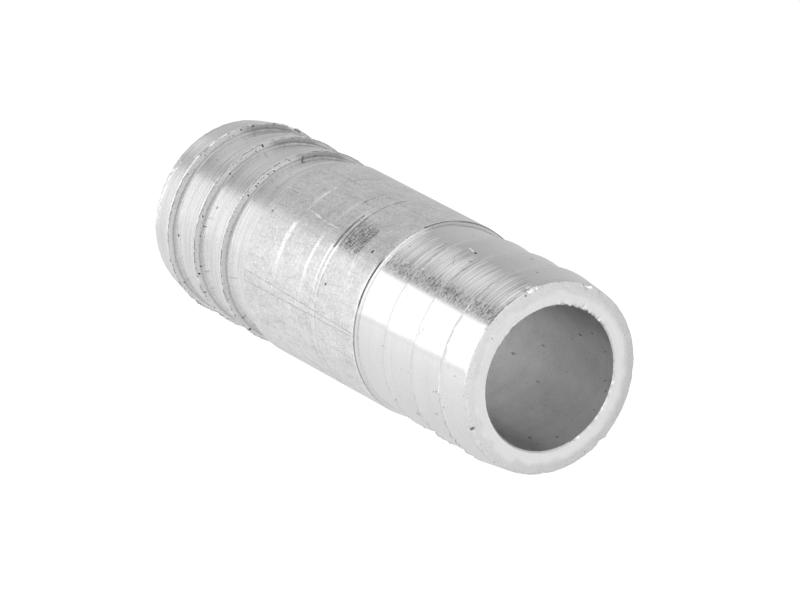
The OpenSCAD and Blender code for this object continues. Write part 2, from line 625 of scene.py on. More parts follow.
def group_pit():
    """A dark pit at one place: 1 in its middle and 0 outside it."""
    wires, start, end = new_group(
        "pit", ("Around", "Along", "At Around", "At Along", "Size", "Length"), ("Mask",))
    across = wires.times(wires.math("SUBTRACT", start["Around"], start["At Around"]), MARK_DEGREE)
    along = wires.math("SUBTRACT", start["Along"], start["At Along"])
    gap = wires.join(across, wires.math("DIVIDE", along, start["Length"]))
    gap = wires.math("DIVIDE", wires.vector("LENGTH", gap), start["Size"])
    wires.feed(end["Mask"], wires.step(gap, 1.0, PIT_FLOOR))


def group_scratch():
    """A straight scratch between two places on the unrolled surface."""
    wires, start, end = new_group(
        "scratch", ("Around", "Along", "From Around", "From Along", "To Around", "To Along", "Width"),
        ("Mask",))

    def spot(prefix):
        return wires.join(wires.times(start[prefix + "Around"], MARK_DEGREE), start[prefix + "Along"])

    begin = spot("From ")
    span = wires.vector("SUBTRACT", spot("To "), begin)
    here = wires.vector("SUBTRACT", spot(""), begin)
    share_of_span = wires.math(
        "DIVIDE", wires.vector("DOT_PRODUCT", here, span),
        wires.vector("DOT_PRODUCT", span, span), clamp=True)
    on_line = wires.vector("MULTIPLY", span, wires.join(share_of_span, share_of_span, share_of_span))
    gap = wires.vector("LENGTH", wires.vector("SUBTRACT", here, on_line))
    wires.feed(end["Mask"], wires.step(wires.math("DIVIDE", gap, start["Width"]), 1.0, SCRATCH_FLOOR))


def group_behind_crest():
    """How far a point lies behind the nearest crest, in millimetres: negative on its slope."""
    wires, start, end = new_group("behind crest", ("Along", "Crest", "Pitch", "Side"), ("Behind",))
    gap = wires.times(wires.math("SUBTRACT", start["Along"], start["Crest"]), start["Side"])
    half = wires.times(start["Pitch"], 0.5)
    wires.feed(end["Behind"], wires.math("WRAP", gap, half, wires.times(half, -1.0)))


def group_strokes():
    """Random strokes of one direction on the unrolled surface: 0 degrees runs round the tube."""
    wires, start, end = new_group(
        "strokes", ("Around", "Along", "Angle", "Length", "Width", "Seed"), ("Strokes",))
    across, along = wires.times(start["Around"], STROKE_DEGREE), start["Along"]
    angle = wires.math("RADIANS", start["Angle"])
    cos, sin = wires.math("COSINE", angle), wires.math("SINE", angle)
    run = wires.math("ADD", wires.times(across, cos), wires.times(along, sin))
    rise = wires.math("SUBTRACT", wires.times(along, cos), wires.times(across, sin))
    place = wires.join(
        wires.math("DIVIDE", run, start["Length"]), wires.math("DIVIDE", rise, start["Width"]),
        start["Seed"])
    wires.feed(end["Strokes"], wires.noise(place, 1.0, 0.0))


def group_lathe_lines():
    """Fine lines round the axis, as a cutting tool leaves them."""
    wires, start, end = new_group("lathe lines", ("Position", "Spacing"), ("Fine", "Broad"))
    pitch = wires.math("DIVIDE", 1 / MM, start["Spacing"])
    for label, share_of_pitch, detail in (("Fine", 1.0, 3.0), ("Broad", 0.22, 1.0)):
        squeeze = wires.join(90.0, 90.0, wires.times(pitch, share_of_pitch))
        flattened = wires.vector("MULTIPLY", start["Position"], squeeze)
        wires.feed(end[label], wires.noise(flattened, 1.0, detail, 0.6))


def group_grain():
    """Fine mottling of a metal surface, with larger clouds in it."""
    wires, start, end = new_group("grain", ("Position", "Size"), ("Grain", "Clouds"))
    scale = wires.math("DIVIDE", 1 / MM, start["Size"])
    wires.feed(end["Grain"], wires.noise(start["Position"], scale, 3.0, 0.6))
    wires.feed(end["Clouds"], wires.noise(start["Position"], wires.times(scale, 0.13), 2.0))


class MetalBench(Wiring):
    """One metal material in the making: its place on the tube, its marks and its shader.

    Every mark is worked into the running level and height as soon as it is made, so that the
    renderer never has to hold many marks at once.
    """

    def __init__(self, name, raggedness=0.05):
        self.material = bpy.data.materials.new(name)
        self.material.use_nodes = True
        super().__init__(self.material.node_tree)
        self.shader = self.material.node_tree.nodes["Principled BSDF"]
        self.shader.inputs["Metallic"].default_value = 1.0
        from_object = self.node("ShaderNodeTexCoord").outputs
        self.position = from_object["Object"]
        self.facing = self.split(from_object["Normal"])
        place = self.group("place on tube", Position=self.position, Raggedness=raggedness)
        self.around, self.along, self.radius = place["Around"], place["Along"], place["Radius"]
        self.exact_height = place["Height"]
        self.level = self.height = self.painted_highlights = None

    def group(self, name, **inputs):
        """Places a shared group and gives its outputs."""
        made = self.node("ShaderNodeGroup", node_tree=bpy.data.node_groups[name])
        for label, value in inputs.items():
            self.feed(made.inputs[label], value)
        return made.outputs

    def lathe_lines(self, spacing):
        lines = self.group("lathe lines", Position=self.position, Spacing=spacing)
        return lines["Fine"], lines["Broad"]

    def grain(self, size):
        grain = self.group("grain", Position=self.position, Size=size)
        return grain["Grain"], grain["Clouds"]

    def behind_crest(self, crest, pitch, side):
        return self.group(
            "behind crest", Along=self.along, Crest=crest / MM, Pitch=pitch / MM, Side=side)["Behind"]

    def side(self, low, high, soft):
        """1 on one side of the tube, between two angles."""
        return self.between(self.around, low, high, soft)

    def patches(self, size, start, end):
        """Ragged patches of about that size in millimetres."""
        return self.step(self.noise(self.position, 1 / (size * MM), 3.0), start, end)

    def streaks(self, scale, detail, roughness=0.5):
        """A noise with its own scale along each axis."""
        stretched = self.vector("MULTIPLY", self.position, scale)
        return self.noise(stretched, 1.0, detail, roughness)

    def strokes(self, angle, length, width, seed, amount):
        """Random scratches of one direction; a larger amount gives more of them."""
        noise = self.group(
            "strokes", Around=self.around, Along=self.along, Angle=angle, Length=length,
            Width=width, Seed=seed)["Strokes"]
        edge = 0.86 - 0.3 * amount
        return self.step(noise, edge, edge + 0.05)

    def specks(self, size, amount):
        """Random dots; a larger amount gives more of them."""
        edge = 0.84 - 0.3 * amount
        return self.step(self.noise(self.position, 1 / (size * MM), 1.0), edge, edge + 0.05)

    def placed(self, kind, labels, rows, along):
        """All placed marks of one kind together. Each row ends with the strength of its mark."""
        def mask(row):
            made = self.group(kind, Around=self.around, Along=along, **dict(zip(labels, row)))
            return self.times(made["Mask"], row[-1])

        return self.fold("MAXIMUM", (mask(row) for row in rows))

    def pits(self, rows, radius=None):
        """Placed pits. On a face the radius takes the place of along."""
        labels = ("At Around", "At Along", "Size", "Length")
        return self.placed("pit", labels, rows, radius or self.along)

    def scratches(self, rows):
        """Placed scratches."""
        labels = ("From Around", "From Along", "To Around", "To Along", "Width")
        return self.placed("scratch", labels, rows, self.along)

    def shade(self, factor):
        """Multiplies the colour's level by a factor that changes over the surface."""
        self.level = factor if self.level is None else self.times(self.level, factor)

    def raise_by(self, height, depth):
        """Adds a height of that many millimetres to the relief."""
        layer = self.times(height, depth)
        self.height = layer if self.height is None else self.math("ADD", self.height, layer)

    def mottle(self, noise, amount, depth=0.0):
        """A noise that swings the level by that amount, and the surface by that depth."""
        off = self.math("SUBTRACT", noise, 0.5)
        self.shade(self.line(self.times(off, 2.0), amount, 1.0))
        if depth:
            self.raise_by(off, depth)

    def mark(self, level, *masks, depth=0.0):
        """A mark that takes the level to that share of itself, and cuts or raises the surface."""
        mask = self.times(*masks)
        self.shade(self.line(mask, level - 1.0, 1.0))
        if depth:
            self.raise_by(mask, depth)

    def clear(self, mask):
        """Takes away all marks made so far where the mask is 1."""
        rest = self.math("SUBTRACT", 1.0, mask)
        self.level = self.line(self.level, rest, mask)
        self.height = self.times(self.height, rest)

    def paint_highlight(self, *masks):
        """Painted highlight: white spots that scatter light instead of mirroring the studio, and glow a
        little.
        """
        mask = self.times(*masks)
        self.painted_highlights = mask if self.painted_highlights is None else self.math("MAXIMUM", self.painted_highlights, mask)

    def uneven(self, base, noise, swing, least=0.0):
        """A value that a noise swings round its base."""
        swung = self.line(self.math("SUBTRACT", noise, 0.5), swing, base)
        return self.math("MAXIMUM", swung, least) if least else swung

    def finish(self, base, roughness):
        """Joins the level, the relief and the roughness to the shader."""
        inputs = self.shader.inputs
        tinted = self.vector("MULTIPLY", self.join(self.level, self.level, self.level), tuple(base))
        # Painted highlights: white, not metallic, and glowing by themselves though they are no lamp.
        if self.painted_highlights is not None:
            black, white = (0, 0, 0, 1), (1, 1, 1, 1)
            tinted = self.blend(self.painted_highlights, tinted, white)
            self.feed(inputs["Metallic"], self.math("SUBTRACT", 1.0, self.painted_highlights))
            self.feed(inputs["Emission Color"], self.blend(self.painted_highlights, black, white))
            inputs["Emission Strength"].default_value = PAINTED_HIGHLIGHT_GLOW
        self.feed(inputs["Base Color"], tinted)
        self.feed(inputs["Roughness"], roughness)
        bump = self.node("ShaderNodeBump", {"Height": self.height, "Distance": MM, "Strength": 1.0})
        self.feed(inputs["Normal"], bump.outputs["Normal"])
        return self.material


# Wear marks, and highlights painted in the same form. A pit is (around, along, size, length, strength)
# and a scratch is (from around, from along, to around, to along, width, strength), in degrees and
# millimetres.
UPPER_PITS = (
    (48.8, 45.9, 0.2, 1.3, 1), (41.8, 46.8, 0.28, 0.8, 0.35), (-24.5, 55.4, 0.13, 0.8, 0.5),
    (-31.5, 42.1, 0.11, 1, 0.6), (-41, 51.8, 0.12, 1, 0.8), (-41.4, 51.4, 0.1, 1, 0.7),
    (-57, 51, 0.22, 1.2, 0.4), (71, 50, 0.16, 1.6, 0.5), (57, 54.5, 0.14, 2, 0.5),
    (53.5, 52.9, 0.12, 2, 0.6), (30, 39, 0.14, 1, 0.4), (-63, 43.5, 0.16, 1.5, 0.5),
    (2.3, 48.7, 0.18, 1, 0.1), (-46, 53.6, 0.13, 1.5, 0.5), (-70, 46, 0.3, 1.5, 0.35),
    (120, 47, 0.16, 1.2, 0.9), (170, 52, 0.14, 1, 0.8), (-130, 44, 0.15, 1.4, 0.8),
)
UPPER_DARK_SCRATCHES = (
    (33, 45.85, 38, 45, 0.09, 0.5), (67.5, 40.7, 65.6, 41.3, 0.09, 0.5), (84, 50.5, 74, 51.6, 0.16, 0.5),
    (56, 53.2, 58, 52, 0.1, 0.4), (-14, 47, -19, 46.8, 0.12, 0.2), (-47, 52.5, -66, 51.6, 0.12, 0.35),
    (130, 41, 150, 43, 0.08, 0.5), (-110, 50, -100, 54, 0.08, 0.4),
)
# Painted highlights on the upper end, laid out as scratches: white glowing strips on crests, scratches and
# rim nicks.
UPPER_PAINTED_HIGHLIGHTS = (
    (48.8, 45.55, 49.4, 44.75, 0.09, 0.7), (-28, 42.9, -31.2, 42.3, 0.07, 0.5),
    (24, 50.3, 41, 50.3, 0.045, 0.5), (22, 46.9, 40, 46.8, 0.05, 0.55), (20, 43.6, 44, 43.7, 0.05, 0.5),
    (20, 41.4, 44, 41.5, 0.05, 0.55), (17.5, 53.22, 7, 53.22, 0.08, 0.9),
    (-26, 53.16, -38, 53.16, 0.09, 0.8), (40.5, 56.95, 43.5, 56.93, 0.15, 1),
    (45, 56.9, 47.5, 56.88, 0.08, 0.9), (81.5, 56.98, 85.5, 56.98, 0.16, 1),
)
LOWER_PITS = (
    (43.7, 13.72, 0.13, 1, 0.8), (31.9, 13.8, 0.14, 1, 1), (28, 13.75, 0.12, 1.4, 0.9),
    (20, 13.78, 0.12, 1, 0.9), (17.8, 13.8, 0.13, 1, 0.9), (10.8, 13.8, 0.14, 1, 1),
    (36.5, 13.74, 0.09, 1, 0.6), (24.5, 13.74, 0.09, 1, 0.7), (14.5, 13.8, 0.08, 1, 0.6),
    (-70.5, 14, 0.16, 1, 0.8), (-81, 13.72, 0.2, 1, 1), (61, 13.9, 0.12, 1, 0.7), (44, 8.66, 0.17, 1.4, 1),
    (38.5, 8.84, 0.1, 1, 0.7), (31, 8.8, 0.09, 1, 0.6), (17.3, 8.94, 0.13, 1.5, 0.9),
    (-12.5, 8.76, 0.13, 1, 1), (-18, 9.04, 0.12, 1.6, 0.8), (-24.3, 8.93, 0.12, 1, 0.9),
    (-43, 8.98, 0.14, 1.4, 0.8), (-48, 8.74, 0.18, 1, 1), (-60.7, 8.66, 0.14, 1, 0.8),
    (52, 8.8, 0.1, 1, 0.6), (25, 8.7, 0.08, 1, 0.6), (55.9, 3.62, 0.14, 1, 0.9), (47.4, 3.66, 0.13, 1, 0.9),
    (-65, 3.86, 0.16, 1, 0.8), (64, 3.9, 0.14, 1.4, 0.3), (70, 3.6, 0.16, 1, 0.4), (38, 3.8, 0.08, 1, 0.5),
    (-4, 10.17, 0.15, 1.3, 0.8), (-31.3, 4.78, 0.19, 1.5, 1), (16, 10, 0.12, 1.5, 0.4),
    (21, 5.6, 0.16, 1.5, 0.3), (23.5, 16.4, 0.16, 2, 0.35), (36, 15.8, 0.2, 1.5, 0.25),
    (150, 10, 0.16, 1, 0.9), (-140, 6, 0.15, 1, 0.9), (110, 15.5, 0.15, 1.2, 0.8),
)
LOWER_DARK_SCRATCHES = (
    (50.2, 14.62, 50.6, 14.15, 0.13, 1), (50.6, 14.15, 52.4, 13.85, 0.11, 1),
    (-38, 15.8, -40.5, 14.3, 0.12, 0.45), (120, 11, 135, 12.5, 0.08, 0.5), (85, 3.66, 89, 3.74, 0.14, 1),
)
# Painted highlights on the lower end, laid out as scratches: white glowing strips on rim chips, crests and
# scratches.
LOWER_PAINTED_HIGHLIGHTS = (
    (3, 0.75, -3, 0.7, 0.26, 0.9), (-7, 0.8, -12, 0.7, 0.28, 0.9), (-20, 0.9, -22, 0.8, 0.2, 0.8),
    (17.2, 3.4, 4, 3.4, 0.17, 1), (4, 3.4, -3, 3.44, 0.12, 0.9), (26.5, 3.46, 30, 3.46, 0.14, 1),
    (33.5, 3.46, 38, 3.46, 0.11, 0.8), (81, 3.5, 84, 3.5, 0.2, 1), (40, 8.45, 20, 8.45, 0.05, 0.6),
    (20, 13.45, -10, 13.45, 0.05, 0.6), (15, 8.42, -6, 8.42, 0.06, 0.8), (-14, 0.5, -30, 0.4, 0.18, 0.8),
)
SKIN_PITS = (
    (15.8, 35.9, 0.28, 0.8, 1), (-13, 31.9, 0.2, 1.2, 0.9), (9.7, 18.9, 0.18, 1.2, 0.8),
    (25.5, 19.5, 0.16, 4.5, 0.4), (45.8, 19.6, 0.15, 3, 0.3), (66, 25.6, 0.2, 4, 0.3),
    (40.2, 25.1, 0.2, 1.4, 0.25), (53, 29.4, 0.3, 1, 0.25), (50, 24, 0.25, 0.8, 0.3),
    (36, 22.3, 0.16, 2.5, 0.25), (-36, 20.5, 0.2, 1.2, 0.2), (46, 37.95, 0.2, 1.2, 1),
    (100, 30, 0.2, 1.5, 0.5), (-120, 25, 0.18, 1.2, 0.6), (170, 33, 0.2, 1.2, 0.5),
)
SKIN_DARK_SCRATCHES = (
    (-31.4, 38, -27.5, 18.1, 0.14, 0.56), (-33, 38, -34.2, 18.1, 0.14, 0.5),
    (66.2, 38.1, 65.6, 31.5, 0.1, 0.35), (53.2, 37.9, 52.6, 31.6, 0.08, 0.35),
    (51.7, 24.8, 51.5, 18.2, 0.08, 0.7), (29, 29.6, 16, 29.5, 0.08, 0.4), (-47.3, 38, -47, 33.2, 0.1, 0.25),
    (19.3, 27, 24.6, 26, 0.07, 0.5), (40, 29.2, 41, 28.5, 0.09, 0.5), (41, 28.5, 44.5, 27.7, 0.09, 0.4),
    (-46, 25, -58, 20.5, 0.09, 0.3), (-36, 30, -39, 28, 0.08, 0.3), (110, 20, 116, 36, 0.09, 0.5),
    (-150, 19, -140, 35, 0.09, 0.5), (160, 24, 175, 30, 0.09, 0.45),
)
# Scratches on the skin whose brightness is painted: they are drawn as white, glowing highlights.
SKIN_SCRATCHES_PAINTED_BRIGHT = (
    (18, 29.7, 18.2, 27, 0.07, 0.8), (18.2, 27, 20.2, 24.2, 0.07, 0.7), (-28, 29.9, -25.2, 28.2, 0.11, 0.6),
    (-25.2, 28.2, -21.4, 26.5, 0.08, 0.5), (44, 36.1, 25, 35.25, 0.1, 0.35),
    (25, 35.25, -2, 34.7, 0.1, 0.5), (9.2, 34.25, -2.5, 34.8, 0.1, 0.9), (-2, 22.2, -12, 21.9, 0.1, 0.5),
    (18.5, 23.3, 41.5, 23.2, 0.09, 0.9), (19.8, 23.7, 18.6, 25.8, 0.08, 0.8),
    (18.6, 25.8, 17.6, 27.6, 0.08, 0.8), (10.5, 35.4, 3, 35, 0.08, 0.6), (4, 26.5, -14, 26.2, 0.08, 0.4),
    (8.5, 29.6, -8, 29.5, 0.06, 0.5), (-30.8, 38, -26.9, 18.1, 0.07, 0.5),
    (-32.4, 38, -33.6, 18.1, 0.07, 0.4), (-140, 21, -120, 24, 0.1, 0.5),
)
# Dark chatter where a tool slipped, as lines round the tube.
SCUFF_LINES = (
    (28, 34.2, 12, 34.2, 0.13, 0.8), (32, 30.48, 8, 30.5, 0.24, 1), (32, 31.16, 10, 31.18, 0.18, 0.9),
    (26, 33, 20, 33, 0.09, 0.5), (61, 31, 32, 31.05, 0.17, 0.9), (72, 23.9, 51, 23.2, 0.13, 0.6),
    (56, 28.2, 39, 28.45, 0.14, 0.6), (-8, 31.02, -86, 31.02, 0.11, 0.55),
    (-18, 30.02, -86, 30.02, 0.09, 0.32),
)
# On the end faces a mark is placed by its angle and its radius.
FACE_PITS = (
    (-55, 9.36, 0.24, 1.6, 1), (5, 8.52, 0.1, 1, 0.7), (38.5, 9.3, 0.16, 1.2, 0.8),
    (79.5, 9.5, 0.14, 0.8, 0.6), (-150, 9.2, 0.1, 1.2, 0.6), (128, 8.9, 0.09, 1, 0.6),
)
# Painted highlights on the end faces: white glowing spots on the rim nicks.
FACE_PAINTED_HIGHLIGHTS = (
    (41.8, 9.46, 0.3, 0.8, 1), (83.5, 9.5, 0.5, 0.5, 1), (46.5, 9.48, 0.16, 0.8, 0.9),
)
BORE_PITS = (
    (-126, 53.4, 0.19, 2.2, 1), (-141, 55.25, 0.17, 1.5, 1), (-124, 55.15, 0.12, 2, 0.6),
    (136, 51.5, 0.2, 2.2, 1), (128.5, 53.9, 0.15, 2, 0.9), (139.5, 55.7, 0.13, 1.5, 1),
    (176.5, 41.25, 0.18, 3, 0.6), (-173.5, 46.75, 0.17, 3, 0.5), (160, 45.3, 0.17, 3, 0.5),
    (161.5, 56.1, 0.12, 1.5, 1), (168.5, 56.6, 0.12, 1.2, 1), (-175, 56.25, 0.11, 1.5, 0.8),
    (170, 50, 0.1, 1.5, 0.6), (-160, 54.5, 0.09, 1.5, 0.6), (150, 54, 0.1, 1.5, 0.7),
    (147, 52.8, 0.09, 1.5, 0.6), (152, 56, 0.09, 1.2, 0.7), (121, 55.6, 0.09, 1.2, 0.6),
)


# Random strokes on the drawn skin, as (level, angle, length, width, seed, amount).
SKIN_STROKES = (
    (0.8, 78, 2.6, 0.08, 1, 0.56), (0.78, 35, 1.2, 0.08, 2, 0.52), (0.8, 2, 1.5, 0.08, 4, 0.52),
    (1.22, 120, 1.4, 0.09, 5, 0.6), (1.22, -25, 1, 0.08, 6, 0.58), (1.2, 3, 1.6, 0.09, 7, 0.56),
)
# Sides of the upper end in degrees around, by which light and shade are painted into its colour:
# where it mirrors the bright panel, where that light falls off, and where hair lines stand out.
PANEL_SIDE = (-19, 9)
DIM_SIDE = (11.5, 20.5)
LINED_SIDE = (13, 46)
# How fine a noise is along x, y and z: mottled spots and patches where the light falls off, and the
# long lines of the drawn skin.
BLOTCHES = (2600, 2600, 4200)
PATCHES = (300, 300, 520)
DRAWN_LINES = (2600, 2600, 160)
# How deep the pits go, in millimetres
PIT_DEPTH = -0.05
BORE_PIT_DEPTH = -0.04
# How brightly the painted highlights glow by themselves
PAINTED_HIGHLIGHT_GLOW = 0.3


def upper_metal(s, finish):
    """Finely turned and bright, with hair lines that stand out where the light falls off, and painted
    highlights and shade on its crests, rim and shoulder corner.
    """
    bench = MetalBench("finely turned upper end")
    shoulder = shoulders(s)[1] / MM
    first_crest = (s.length - s.upper_lead) / MM
    rim = (s.length - s.bevel_h) / MM
    fine, broad = bench.lathe_lines(0.20)
    grain = bench.grain(0.20)[0]
    dim_side = bench.side(*DIM_SIDE, 3.0)
    lined_side = bench.side(*LINED_SIDE, 4.0)
    # Real hair lines and mottling, painted stronger only on the sides where the light falls off.
    bench.mottle(fine, bench.line(lined_side, 0.42, 0.05), bench.line(lined_side, 0.0012, 0.0015))
    bench.mottle(broad, 0.03, 0.002)
    bench.mottle(grain, bench.line(dim_side, 0.70, 0.08), 0.002)
    bench.mottle(bench.streaks(BLOTCHES, 2.0, 0.6), bench.times(dim_side, 1.45))
    bench.mottle(bench.streaks(PATCHES, 1.0), bench.times(dim_side, 0.6))
    bench.mark(1.25, bench.strokes(0.6, 6.0, 0.12, 10.0, 0.86), lined_side)
    bench.mark(0.72, bench.strokes(-0.5, 5.0, 0.12, 11.0, 0.84), lined_side)
    rough = bench.uneven(finish.upper_rough, grain, 0.12, least=0.04)
    behind = bench.behind_crest(s.length - s.upper_lead, s.pitch, -1.0)
    broken = bench.patches(0.9, 0.30, 0.55)
    on_panel = bench.side(*PANEL_SIDE, 1.5)
    later_crests = bench.step(bench.along, first_crest - 2.5, first_crest - 2.9)
    # Painted highlight: the lands of the later crests are lighter on the side that mirrors the bright
    # panel.
    bench.mark(1.22, bench.between(behind, -0.36, 0.02, 0.04), on_panel, later_crests)
    # Painted shade: a broken dark line along the crests, faint on the panel side, darker on the first
    # crest's far side.
    faint = bench.line(on_panel, -0.85, 1.0)
    bench.mark(0.62, bench.between(behind, -0.05, 0.06, 0.03), broken, faint)
    crest_painted_shade = bench.between(bench.exact_height, first_crest - 0.04, first_crest + 0.05, 0.02)
    bench.mark(0.45, crest_painted_shade, bench.step(bench.around, -34.0, -42.0))
    # Painted shade in the corner at the foot of the upper neck, on the far side.
    corner_painted_shade = bench.step(bench.along, shoulder + 0.18, shoulder + 0.08)
    bench.mark(0.62, corner_painted_shade, bench.side(44.0, 68.0, 3.0))
    # Painted shade: a dark line along the rim edge on one side.
    rim_painted_shade = bench.step(bench.along, rim - 0.19, rim - 0.11)
    bench.mark(0.5, rim_painted_shade, bench.side(12.0, 32.0, 4.0))
    by_rim = bench.step(bench.along, rim - 0.75, rim - 0.2)
    bench.mark(0.66, by_rim, bench.specks(0.20, 0.62))
    bench.mark(0.86, bench.strokes(8.0, 1.6, 0.07, 3.0, 0.45))
    bench.mark(0.55, bench.specks(0.30, 0.30))
    bench.mark(0.12, bench.pits(UPPER_PITS), depth=PIT_DEPTH)
    bench.mark(0.55, bench.scratches(UPPER_DARK_SCRATCHES))
    # Painted highlights on crests, scratches and rim nicks.
    bench.paint_highlight(bench.scratches(UPPER_PAINTED_HIGHLIGHTS), broken)
    return bench.finish(finish.turned, rough)


def lower_metal(s, finish):
    """Coarsely turned, with broad feed marks that flash in the bright light, and painted highlights and
    shade along its crests, backs and rim.
    """
    bench = MetalBench("coarsely turned lower end")
    fine, broad = bench.lathe_lines(0.22)
    bench.mottle(fine, 0.30, 0.022)
    bench.mottle(broad, 0.10, 0.07)
    grain = bench.grain(0.22)[0]
    bench.mottle(grain, 0.22, 0.008)
    rough = bench.uneven(finish.lower_rough, grain, 0.14, least=0.05)
    behind = bench.behind_crest(s.lower_lead, s.pitch, 1.0)
    # Painted light on the steep backs: lighter near each crest, with a painted shade line towards the root.
    bench.mark(1.10, bench.between(behind, 0.04, 0.34, 0.04))
    bench.mark(0.74, bench.between(behind, 0.42, 0.52, 0.035))
    # Along each crest: a broken painted highlight on the slope side and a broken painted shade line behind
    # it.
    broken = bench.patches(0.8, 0.40, 0.58)
    bench.mark(1.35, bench.between(behind, -0.15, -0.03, 0.03), broken)
    broken = bench.patches(0.55, 0.44, 0.56)
    bench.mark(0.42, bench.between(behind, 0.0, 0.07, 0.025), broken)
    bench.mark(0.45, bench.between(behind, -0.02, 0.45, 0.06), bench.specks(0.22, 0.62))
    # Painted dark reflection on the backs, on the far side.
    bench.mark(0.56, bench.between(behind, 0.12, 0.62, 0.10), bench.side(49.0, 82.0, 6.0))
    # Chips by the rim, painted as white, glowing highlights.
    chips = bench.times(bench.side(-24.0, 12.0, 3.0), bench.specks(0.34, 0.74))
    bench.paint_highlight(chips, bench.between(bench.along, 0.35, 1.3, 0.2))
    # Painted shade: the rim edge is darker on the side beyond 12 degrees.
    bench.mark(0.55, bench.step(bench.along, 0.50, 0.30), bench.step(bench.around, 4.0, 12.0))
    bench.mark(0.12, bench.pits(LOWER_PITS), depth=PIT_DEPTH)
    bench.mark(0.35, bench.scratches(LOWER_DARK_SCRATCHES))
    thin_spots = bench.line(broken, 0.6, 0.4)
    # Painted highlights on rim chips, crests and scratches.
    bench.paint_highlight(bench.scratches(LOWER_PAINTED_HIGHLIGHTS), thin_spots)
    return bench.finish(finish.turned, rough)


def skin_metal(s, finish):
    """Drawn tube skin: dull, mottled, scratched all over, some scratches painted as highlights, with tool
    marks round it painted brighter on the lit side, and painted light and shade at the upper shoulder.
    """
    bench = MetalBench("drawn tube skin")
    shoulder = shoulders(s)[1] / MM
    grain, clouds = bench.grain(0.24)
    bench.mottle(grain, 0.25, 0.008)
    bench.mottle(clouds, 0.16)
    rough = bench.uneven(finish.skin_rough, grain, 0.16)
    bench.mottle(bench.streaks(DRAWN_LINES, 3.0, 0.6), 0.16, 0.008)
    for level, *stroke in SKIN_STROKES:
        bench.mark(level, bench.strokes(*stroke))
    for level, size, amount in ((0.6, 0.30, 0.28), (1.25, 0.20, 0.55), (0.82, 0.17, 0.55)):
        bench.mark(level, bench.specks(size, amount))
    broken = bench.patches(0.7, 0.36, 0.60)
    bench.mark(0.2, bench.pits(SKIN_PITS), depth=PIT_DEPTH)
    thin_spots = bench.line(broken, 0.5, 0.5)
    bench.mark(0.54, bench.scratches(SKIN_DARK_SCRATCHES), thin_spots)
    # Painted highlights: some scratches are drawn as white, glowing lines.
    glimmer = bench.times(broken, 0.65)
    bench.paint_highlight(bench.scratches(SKIN_SCRATCHES_PAINTED_BRIGHT), glimmer)
    bench.mark(0.36, bench.scratches(SCUFF_LINES), thin_spots)
    rubbed = bench.times(bench.side(9.0, 29.0, 4.0), bench.between(bench.along, 31.3, 34.3, 0.5))
    bench.mark(0.76, rubbed, clouds)
    hatch = bench.math(
        "MAXIMUM", bench.strokes(4.0, 1.3, 0.16, 8.0, 1.05), bench.strokes(84.0, 0.5, 0.14, 9.0, 0.95))
    hatch = bench.times(hatch, bench.step(clouds, 0.25, 0.55))
    bench.mark(0.36, rubbed, hatch)
    # Painted highlight: on the lit side the tool marks are lighter, and smoother.
    lit_side = bench.side(-9.0, 21.0, 7.0)
    smoother = finish.upper_rough - finish.skin_rough
    for top, width, _, _, polish_and_painted_shine in RING_MARKS:
        ring = bench.times(bench.between(bench.along, top - width, top, 0.03), lit_side)
        bench.mark(1.0 + 0.12 * polish_and_painted_shine, ring)
        rough = bench.line(ring, polish_and_painted_shine * smoother, rough)
    # The worn edge of the upper shoulder is smooth. The band above it and the step down to the neck
    # get painted shade by where they face, and the step a painted highlight on the side that catches the
    # light.
    band_start = shoulder - s.shoulder_band / MM
    edge = bench.between(bench.exact_height, band_start - s.shoulder_edge / MM, band_start, 0.02)
    bench.mark(1.10, edge)
    rough = bench.line(edge, smoother, rough)
    band = bench.step(bench.exact_height, band_start - 0.02, band_start + 0.03)
    on_step = bench.times(band, bench.step(bench.facing["Z"], 0.5, 0.6))
    band = bench.math("SUBTRACT", band, on_step)
    bench.clear(on_step)
    tube_r = s.tube_r / MM
    step_rim = bench.step(bench.radius, tube_r - 0.15, tube_r - 0.11)
    # Painted highlight on the step, on the side that catches the light.
    lit_step = bench.times(on_step, bench.side(14.0, 38.0, 4.0))
    bench.paint_highlight(lit_step, bench.line(step_rim, 0.45, 0.15))
    # Painted shade on the band, and on the step and its rim on the far side.
    bench.mark(0.20, band, bench.side(-17.0, 14.0, 3.0))
    bench.mark(0.46, band, bench.step(bench.around, -16.0, -22.0))
    bench.mark(0.38, band, bench.step(bench.around, 43.0, 47.0))
    bench.mark(0.80, on_step, bench.step(bench.around, 43.0, 50.0))
    far_step_rim_shade = bench.times(step_rim, bench.step(bench.around, 62.0, 72.0))
    bench.mark(0.40, on_step, far_step_rim_shade)
    return bench.finish(finish.skin, bench.math("MAXIMUM", rough, 0.06))


